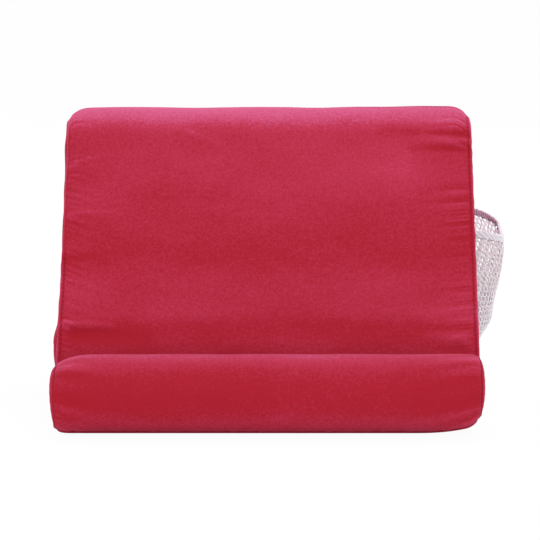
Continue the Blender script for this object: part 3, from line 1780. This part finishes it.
@dataclass
class Bolster:
    """The roll that keeps a tablet from sliding off: its sleeve and end caps.

    Pairs that belong to the two ends hold the left one first.
    """

    suede: Material
    thread: Material
    roll: RollShape = RollShape()
    stuffing: Stuffing = Stuffing()
    cloth: float = 0.0009
    fill: float = 0.9
    # The sleeve
    arc: Range = (math.radians(245.0), math.radians(-46.0))
    rows: int = 132
    end_reach: float = 0.016
    end_columns: int = 26
    end_bend: float = 1.4
    middle_columns: int = 110
    crown: float = 0.0004
    slant: float = 0.2
    short_pucker: Pucker = Pucker(0.00014, 0.0030, 0.0042)
    long_pucker: Pucker = Pucker(0.00018, 0.0080, 0.0110)
    pucker_full: float = 0.0009
    uneven: Uneven = Uneven(0.00018, 0.050)
    lump_stretch: Triple = (0.6, 1.0, 1.0)
    crest_sink: Bump = Bump(0.0005, math.radians(95.0), 0.6)
    crest_nap: Bump = Bump(0.80, math.radians(95.0), 0.58)
    face_dark: Bump = Bump(0.15, math.radians(172.0), 0.40)
    end_seam: Groove = Groove(0.0012, 0.0010, 0.45, 0.0007)
    smooth_from: Range = (math.radians(190.0), math.radians(222.0))
    smooth_depth: float = 0.0010
    smooth_nap: float = 0.28
    foot_seam: Groove = Groove(0.0012, 0.0018, 0.45, 0.0009)
    foot_pucker: Pucker = Pucker(0.00022, 0.004, 0.010)
    stitch: Stitch = Stitch(0.0031, 0.0021, 0.00085)
    stitch_inset: float = 0.0007
    stitch_lifts: Pair = (-0.0001, 0.0002)
    # The caps
    cap_points: int = 120
    cap_rings: tuple[float, int, float] = (0.03, 34, 1.5)
    cap_depth: float = 0.0010
    cap_inset: float = 0.0011
    cap_crown: float = 0.0026
    cap_turns: Pair = (math.radians(140.0), math.radians(170.0))
    cap_rises: Pair = (0.0026, 0.0016)
    cap_peak: float = 0.0030
    cap_pucker: Pucker = Pucker(0.00004, 0.0030, 0.0070)
    cap_full: float = 0.0006
    cap_nap: float = 0.7
    cap_nap_peak: float = 0.0024
    cap_rim: Groove = Groove(0.0, 0.0008, 0.45, 0.0008)

    def build(self) -> None:
        """Makes and dresses the sleeve and both caps."""
        self.sleeve()
        for end in Side:
            self.cap(end)

    def sleeve(self) -> None:
        """The cover of the roll, open along its hidden foot."""
        half = self.roll.half_length
        near = half - self.end_reach * np.linspace(0, 1, self.end_columns) ** self.end_bend
        middle = np.linspace(self.end_reach - half, half - self.end_reach, self.middle_columns)
        x = np.unique(np.concatenate([near, -near, middle]).round(7))
        turn = np.linspace(*self.arc, self.rows)[:, None]
        points = self.roll.points(x[None], turn)
        height, nap = self.sleeve_work(points, x, turn)
        done = points + self.stuffing.swell(points, self.crown) + height[..., None] * grid_normals(points)
        facing = grid_normals(done)
        for end in Side:
            column = int(np.abs(x - end.value * (half - self.stitch_inset)).argmin())
            self.stitch.sew(f"bolster_{end.word}_topstitch", done[:, column], facing[:, column],
                            end.of(self.stitch_lifts), self.thread)
        panel = thicken(panel_mesh("bolster_sleeve_cover", done, nap), self.cloth)
        settle(panel, self.suede, ["bolster_sleeve"])

    def sleeve_work(self, points: Array, x: Array, turn: Array) -> tuple[Array, Array]:
        """Puckers, seams and lumps of the sleeve.

        Args:
            points: rows by columns by three.
            x: place of each column.
            turn: direction of each row.

        Returns:
            Height along the normals, and the nap.
        """
        edge = self.roll.half_length - np.abs(x)
        slant = self.slant * edge - turn * self.roll.radius
        height = np.zeros(points.shape[:2])
        for end in Side:
            waves = self.short_pucker.waves(edge, slant, Seed.SLEEVE_SHORT + end.value)
            waves += self.long_pucker.waves(edge, slant, Seed.SLEEVE_LONG + end.value)
            height += np.where(np.sign(x) == end.value, 1.0, 0.0) * waves
        nap = rubbed(height, self.pucker_full)
        height += self.uneven.at(points * np.array(self.lump_stretch), edge, Seed.SLEEVE_LUMPS)
        height -= self.crest_sink.at(turn)
        smooth = ease(turn, *self.smooth_from)
        height -= (self.end_seam.depth - self.smooth_depth * smooth) * bell(edge, self.end_seam.width)
        foot = lengths(points - points[:1])
        height += self.foot_pucker.waves(foot, points[..., 0], Seed.SLEEVE_FOOT)
        height -= self.foot_seam.sink(foot)
        nap += self.crest_nap.at(turn) + self.smooth_nap * smooth - self.face_dark.at(turn)
        nap -= self.end_seam.shade(edge) + self.foot_seam.shade(foot)
        return height, nap

    def cap(self, end: Side) -> None:
        """The round end of the roll on one side.

        Args:
            end: which side.
        """
        turn = np.linspace(0, 2 * math.pi, self.cap_points, endpoint=False)
        place = np.full(len(turn), end.value * (self.roll.half_length - self.cap_depth))
        rim = self.roll.points(place, turn, self.cap_inset)
        middle = rim.mean(axis=0)
        points = facing_out(middle + ring_shares(*self.cap_rings)[:, None, None] * (rim - middle), end)
        edge = lengths(points - points[-1])
        height = self.cap_pucker.waves(edge, turn * self.roll.radius, Seed.CAP + end.value)
        nap = rubbed(height, self.cap_full) + self.cap_nap * crest(edge, self.cap_nap_peak)
        nap -= self.cap_rim.shade(edge)
        heading = np.arctan2(points[-1, :, 2] - middle[2], points[-1, :, 1] - middle[1])
        toward = 0.5 + 0.5 * np.cos(heading - end.of(self.cap_turns))
        height += end.of(self.cap_rises) * crest(edge, self.cap_peak) * toward**2
        done = points + self.stuffing.swell(points, self.cap_crown, ring=True)
        done[..., 0] += height * end.value
        name = f"bolster_{end.word}_end_cap"
        panel = thicken(panel_mesh(f"{name}_cover", done, nap, ring=True), self.cloth)
        settle(panel, self.suede, [name])


@dataclass
class NetPocket:
    """The net pocket on the right side, with an elastic mouth."""

    net: Material
    elastic: Material
    shape: WedgeShape = WedgeShape()
    flat_size: Pair = (0.205, 0.118)
    flat_area: float = 0.0170
    # Where it hangs
    foot: float = 0.0020
    mouth: float = 0.1232
    mouth_rise: float = 0.0057
    sag: float = 0.0076
    sag_skew: float = 0.652
    slack: float = 0.0002
    belly: Triple = (0.0110, 0.401, 0.561)
    widening: Triple = (0.0091, 0.549, 0.915)
    plan: Triple = (0.602, 5.0, 1.5)
    stand_off: float = 0.0005
    inset: float = 0.0017
    side_crown: float = 0.0030
    side_foot: float = 0.0017
    # The net's meshes
    pitch: float = 0.0037
    hole: Pair = (0.00114, 0.00148)
    hole_points: int = 12
    hole_low: float = 0.70
    hole_heights: Range = (0.35, 0.75)
    most_across: int = 40
    edge_share: float = 0.3
    yarn: float = 0.0005
    net_off: float = 0.0003
    net_lap: float = 0.0004
    mouth_run: float = 0.11
    pleat: float = 0.0009
    pleat_focus: int = 5
    pleat_wavelength: float = 0.0085
    crease: float = 0.0009
    crease_heights: Range = (0.35, 0.6)
    crease_size: float = 0.026
    # The hem
    hem_width: float = 0.0052
    hem_thickness: float = 0.0022
    hem_draw: float = 0.0020
    hem_rows: int = 150
    hem_points: int = 16
    hem_corners: Pair = (0.6, 0.8)
    hem_gather: float = 0.16
    gather_wavelength: float = 0.0036
    hem_wander: float = 0.05
    wander_wavelength: float = 0.006

    def side_x(self, y: Array, z: Array) -> Array:
        """The stuffed side panel's face.

        Args:
            y: places on it by Y.
            z: their heights.

        Returns:
            X of the face at each place.
        """
        front, rear = self.shape.span(z, self.inset)
        y_mid, z_mid = self.shape.middle
        across = np.where(y < y_mid, (y_mid - y) / np.maximum(y_mid - front, 1e-6),
                          (y - y_mid) / np.maximum(rear - y_mid, 1e-6))
        fall = np.where(z < z_mid, (z_mid - z) / (z_mid - self.side_foot), 0.0)
        share = np.clip(np.maximum(np.abs(across), fall), 0, 1)
        return self.shape.stitch_half(z) + self.side_crown * (1 - share**3)

    def across(self, u: Array) -> Array:
        """The bag's plan: square towards the front seam, and slanting to the rear one.

        Args:
            u: shares of the way from the front seam to the rear seam.

        Returns:
            Shares of the bag's depth.
        """
        widest, front, rear = self.plan
        return np.where(u < widest, 1 - np.clip(1 - u / widest, 0, 1) ** front,
                        1 - np.clip((u - widest) / (1 - widest), 0, 1) ** rear)

    def bag(self, u: Array, v: Array) -> Array:
        """How far the net hangs away from the panel."""
        swells = (depth * ease(v, start, end) for depth, start, end in (self.belly, self.widening))
        return (self.slack + sum(swells)) * self.across(u)

    def hem_top(self, u: Array) -> Array:
        """Height of the mouth's rim."""
        return self.mouth + self.mouth_rise * u - self.sag * np.sin(math.pi * u**self.sag_skew) ** 2

    def place(self, u: Array, z: Array, off: Array) -> Array:
        """Points of the pocket.

        Args:
            u: shares of the way from the front seam to the rear seam.
            z: heights.
            off: distances from the panel.

        Returns:
            The points.
        """
        front, rear = self.shape.span(z, self.inset)
        y = front + u * (rear - front)
        return np.stack([self.side_x(y, z) + self.stand_off + off, y, z], axis=-1)

    def build(self) -> None:
        """Makes and dresses the net and its hem."""
        hem = self.hem()
        net = self.bag_net()

    @property
    def tall(self) -> float:
        """The net's height, up to the hem."""
        return self.mouth - self.hem_width - self.foot

    def meshes(self) -> tuple[Array, list[tuple[int, ...]]]:
        """The flat net: six-sided meshes of yarn round oval holes.

        Returns:
            Corners across and up the cut, and the corner numbers of each face.
        """
        count, size = self.hole_points, self.pitch / math.sqrt(3)
        turns = np.radians(np.arange(count) * (360.0 / count))
        reach = np.where(np.arange(count) % 2 == 1, size, self.pitch / 2)
        ring = np.stack([reach * np.cos(turns), reach * np.sin(turns)], axis=1)
        oval = np.stack([self.hole[0] * np.cos(turns), self.hole[1] * np.sin(turns)], axis=1)
        flat: list[Array] = []
        found: dict[tuple[int, int], int] = {}
        faces: list[tuple[int, ...]] = []

        def corner(p: Array) -> int:
            """Number of a corner that neighbouring meshes share.

            Args:
                p: the corner's place.

            Returns:
                Its number.
            """
            key = (round(p[0] * 1e7), round(p[1] * 1e7))
            if key not in found:
                found[key] = len(flat)
                flat.append(p)
            return found[key]

        for j in range(int(self.tall / (1.5 * size)) + 2):
            up = j * 1.5 * size
            front, rear = self.shape.span(np.array(self.foot + up), self.inset)
            wide = float(rear - front) / 2 + self.edge_share * self.pitch
            grown = float(ease(np.array(up / self.tall), *self.hole_heights))
            drawn = self.hole_low + (1 - self.hole_low) * grown
            for i in range(-self.most_across, self.most_across + 1):
                centre = np.array([(i + 0.5 * (j % 2)) * self.pitch, up])
                if abs(centre[0]) > wide:
                    continue
                outer = [corner(centre + p) for p in ring]
                first = len(flat)
                flat.extend(centre + drawn * p for p in oval)
                for k in range(count):
                    after = (k + 1) % count
                    faces.append((outer[k], outer[after], first + after, first + k))
        return np.array(flat), faces

    def bag_net(self) -> Piece:
        """The net, hung from the hem in a bag.

        Returns:
            The net.
        """
        cut, faces = self.meshes()
        v = np.clip(cut[:, 1] / self.tall, 0, 1)
        front, rear = self.shape.span(self.foot + v * self.tall, self.inset)
        u = np.clip(0.5 + cut[:, 0] / (rear - front), 0, 1)
        z = self.foot + v * (self.hem_top(u) - self.hem_width + self.net_lap - self.foot)
        gathers = ripple(u * self.mouth_run, Seed.PLEATS, self.pleat_wavelength)
        pleats = self.pleat * v**self.pleat_focus * gathers * self.across(u)
        limp = np.stack([cut[:, 0], cut[:, 1], 0 * u], axis=-1)
        creases = self.crease * self.across(u) * ease(v, *self.crease_heights) * (1 - v**4)
        creases *= lumps(limp, Seed.CREASES, self.crease_size)
        points = self.place(u, z, self.bag(u, v) + self.net_off + pleats + creases)
        points[:, 2] += self.shape.toe_lift(points)
        piece = thicken(make_mesh("pocket_net_yarn", points, faces), self.yarn, 1.0)
        return settle(piece, self.net, ["pocket_net"])

    def hem(self) -> Piece:
        """The elastic band that gathers the pocket's mouth.

        Returns:
            The band.
        """
        u = np.linspace(0, 1, self.hem_rows)
        turn = np.linspace(0, 2 * math.pi, self.hem_points, endpoint=False)[:, None]
        flat, tall = self.hem_corners
        across = np.sign(np.cos(turn)) * np.abs(np.cos(turn)) ** flat
        lift = np.sign(np.sin(turn)) * np.abs(np.sin(turn)) ** tall
        gather = 1 + self.hem_gather * ripple(u * self.mouth_run, Seed.HEM, self.gather_wavelength)
        wander = 1 + self.hem_wander * ripple(u * self.mouth_run, Seed.HEM_EDGE, self.wander_wavelength)
        w = 0.5 + 0.5 * across * wander
        z = self.hem_top(u) - self.hem_width * (1 - w)
        off = self.bag(u, np.ones(len(u))) - self.hem_draw * w * self.across(u)
        off = off + self.hem_thickness / 2 * (1 + lift * gather)
        points = self.place(np.broadcast_to(u, z.shape), z, off).transpose(1, 0, 2)
        band = closed_loft("pocket_hem_band", points)
        return settle(band, self.elastic, ["pocket_hem_elastic"])


@dataclass
class FoamFill:
    """The foam inside the cover."""

    foam: Material
    shape: WedgeShape = WedgeShape()
    roll: RollShape = RollShape()
    inset: float = 0.0045
    fill: float = 1.0
    wedge_rings: int = 31
    wedge_share: float = 0.96
    wedge_steps: tuple[int, ...] = (30, 16, 26, 6, 26)
    core_rings: int = 41
    core_share: float = 0.97
    core_points: int = 64

    def build(self) -> None:
        """Makes and dresses both cores."""
        self.wedge()
        self.core()

    def wedge(self) -> None:
        """The wedge of foam."""
        rings = []
        for xi in np.linspace(-self.wedge_share, self.wedge_share, self.wedge_rings):
            place = float(xi) * (self.shape.half_width - self.shape.flange)
            section = self.shape.outline(place, self.inset, self.wedge_steps)
            x = xi * self.shape.stitch_half(section[:, 1])
            rings.append(np.concatenate([x[:, None], section], axis=1))
        block = closed_loft("wedge_foam_block", np.array(rings))
        settle(block, self.foam, ["wedge_foam_core"])

    def core(self) -> None:
        """The filling of the roll."""
        turn = np.linspace(0, 2 * math.pi, self.core_points, endpoint=False)
        places = np.linspace(-self.core_share, self.core_share, self.core_rings) * self.roll.half_length
        rings = [self.roll.points(np.full(len(turn), x), turn, self.inset) for x in places]
        block = closed_loft("bolster_foam_roll", np.array(rings))
        settle(block, self.foam, ["bolster_foam_core"])


@dataclass
class ZipFastener:
    """The zip in the back, whose CAD solids stay and get their finishes."""

    tape: Material
    nylon: Material
    zinc: Material
    tapes: tuple[str, ...] = ("zip_tape_upper", "zip_tape_lower")
    teeth: tuple[str, ...] = ("zip_teeth_upper", "zip_teeth_lower")
    castings: tuple[str, ...] = ("zip_slider", "zip_pull_tab", "zip_top_stop_upper", "zip_top_stop_lower",
                                 "zip_bottom_stop")

    def dress(self) -> None:
        """Gives every part of the zip its finish."""
        finishes = ((self.tapes, self.tape), (self.teeth, self.nylon), (self.castings, self.zinc))
        for names, material in finishes:
            for name in names:
                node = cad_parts[name]
                node.data.materials.clear()
                node.data.materials.append(material)
                LOG.info("%s: dressed in %s", name, material.name)


# Studio


@dataclass(frozen=True)
class Lamp:
    """A soft square lamp: where it stands, the point that it faces, its side and its power in watts."""

    name: str
    place: Triple
    target: Triple
    size: float
    power: float

    def light(self) -> None:
        """Puts the lamp into the scene."""
        data = bpy.data.lights.new(self.name, "AREA")
        data.size = self.size
        data.energy = self.power
        lamp = bpy.data.objects.new(self.name, data)
        aim = np.array(self.target) - np.array(self.place)
        flat = math.hypot(aim[0], aim[1])
        lamp.location = self.place
        lamp.rotation_euler = (math.atan2(flat, -aim[2]), 0.0, math.atan2(aim[1], aim[0]) - math.pi / 2)
        bpy.context.scene.collection.objects.link(lamp)


@dataclass
class Studio:
    """A pale floor, soft lamps and the camera."""

    camera_place: Triple = (0.0, -1.907, 0.398)
    camera_pitch: float = math.radians(81.0)
    lens: float = 184.5
    sensor: float = 36.0
    shift: float = 0.0039
    sky: float = 0.86
    floor_size: float = 12.0
    floor_drop: float = 0.0004
    floor_grey: float = 0.92
    floor_white: float = 0.955
    lamps: tuple[Lamp, ...] = (
        Lamp("overhead", (0.05, -0.05, 1.30), (0.0, 0.0, 0.08), 1.30, 5.5),
        Lamp("front_left", (-1.00, -1.60, 0.24), (0.0, 0.0, 0.04), 0.90, 1.6),
        Lamp("front_right", (1.10, -1.50, 0.22), (0.0, 0.0, 0.04), 0.90, 0.7),
        Lamp("low_front", (0.0, -1.05, 0.09), (0.0, -0.10, 0.02), 0.16, 1.6),
        Lamp("rear", (0.30, 1.45, 0.85), (0.0, 0.0, 0.10), 1.10, 6.0),
        Lamp("right_edge", (1.30, 0.75, 0.35), (0.14, 0.05, 0.08), 0.90, 5.0),
        Lamp("left_edge", (-1.30, 0.75, 0.35), (-0.14, 0.05, 0.08), 0.90, 5.0),
    )

    def build(self) -> None:
        """Sets up floor, lamps, world and camera."""
        self.floor()
        self.world()
        for lamp in self.lamps:
            lamp.light()
        self.camera()
        bpy.context.scene.view_settings.view_transform = "Standard"

    def seen(self, tree: bpy.types.NodeTree) -> Socket:
        """One for rays that see the background, straight or by reflection.

        Args:
            tree: the node tree that asks.

        Returns:
            The answer, 0 or 1.
        """
        path = tree.nodes.new("ShaderNodeLightPath")
        total = path.outputs["Is Camera Ray"]
        for name in ("Is Glossy Ray", "Is Transmission Ray"):
            add = tree.nodes.new("ShaderNodeMath")
            add.operation = "MAXIMUM"
            tree.links.new(total, add.inputs[0])
            tree.links.new(path.outputs[name], add.inputs[1])
            total = add.outputs[0]
        return total

    def floor(self) -> None:
        """A wide pale floor that is white to the eye and keeps the shadow."""
        bpy.ops.object.select_all(action="DESELECT")
        bpy.ops.mesh.primitive_plane_add(size=self.floor_size, location=(0, 0, -self.floor_drop))
        floor = bpy.context.object
        floor.name = "studio_floor"
        material = bpy.data.materials.new("pale_floor")
        material.use_nodes = True
        tree = material.node_tree
        tree.nodes.clear()
        out = tree.nodes.new("ShaderNodeOutputMaterial")
        matt = tree.nodes.new("ShaderNodeBsdfDiffuse")
        matt.inputs["Color"].default_value = (*[self.floor_grey] * 3, 1)
        glow = tree.nodes.new("ShaderNodeEmission")
        glow.inputs["Color"].default_value = (1, 1, 1, 1)
        blend = tree.nodes.new("ShaderNodeMixShader")
        share = tree.nodes.new("ShaderNodeMath")
        share.operation = "MULTIPLY"
        share.inputs[1].default_value = self.floor_white
        tree.links.new(self.seen(tree), share.inputs[0])
        tree.links.new(share.outputs[0], blend.inputs["Fac"])
        tree.links.new(matt.outputs[0], blend.inputs[1])
        tree.links.new(glow.outputs[0], blend.inputs[2])
        tree.links.new(blend.outputs[0], out.inputs["Surface"])
        floor.data.materials.append(material)

    def world(self) -> None:
        """White to the eye, and an even soft light on the object."""
        world = bpy.data.worlds.new("studio_air")
        bpy.context.scene.world = world
        world.use_nodes = True
        tree = world.node_tree
        tree.nodes.clear()
        out = tree.nodes.new("ShaderNodeOutputWorld")
        light = tree.nodes.new("ShaderNodeBackground")
        light.inputs["Color"].default_value = (1, 1, 1, 1)
        light.inputs["Strength"].default_value = self.sky
        white = tree.nodes.new("ShaderNodeBackground")
        white.inputs["Color"].default_value = (1, 1, 1, 1)
        white.inputs["Strength"].default_value = 1.0
        blend = tree.nodes.new("ShaderNodeMixShader")
        tree.links.new(self.seen(tree), blend.inputs["Fac"])
        tree.links.new(light.outputs[0], blend.inputs[1])
        tree.links.new(white.outputs[0], blend.inputs[2])
        tree.links.new(blend.outputs[0], out.inputs["Surface"])

    def camera(self) -> None:
        """The photograph's point of view."""
        data = bpy.data.cameras.new("photo_camera")
        data.sensor_width = self.sensor
        data.lens = self.lens
        data.shift_x = self.shift
        camera = bpy.data.objects.new("photo_camera", data)
        camera.location = self.camera_place
        camera.rotation_euler = (self.camera_pitch, 0.0, 0.0)
        bpy.context.scene.collection.objects.link(camera)
        bpy.context.scene.camera = camera


def main() -> None:
    """Builds the stand's looks, piece by piece."""
    logging.basicConfig(level=logging.INFO, format="%(message)s")
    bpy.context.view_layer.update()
    Studio().build()
    suede, thread = Suede().material(), THREAD.material()
    FoamFill(Foam().material()).build()
    for panels in (FrontPanel, BackPanels, BasePanel, SidePanels):
        panels(suede, thread).build()
    Bolster(suede, thread).build()
    NetPocket(NET_YARN.material(), ELASTIC.material()).build()
    ZipFastener(ZIP_TAPE.material(), NYLON.material(), PlatedZinc().material()).dress()
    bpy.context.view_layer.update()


if __name__ == "__main__":
    main()
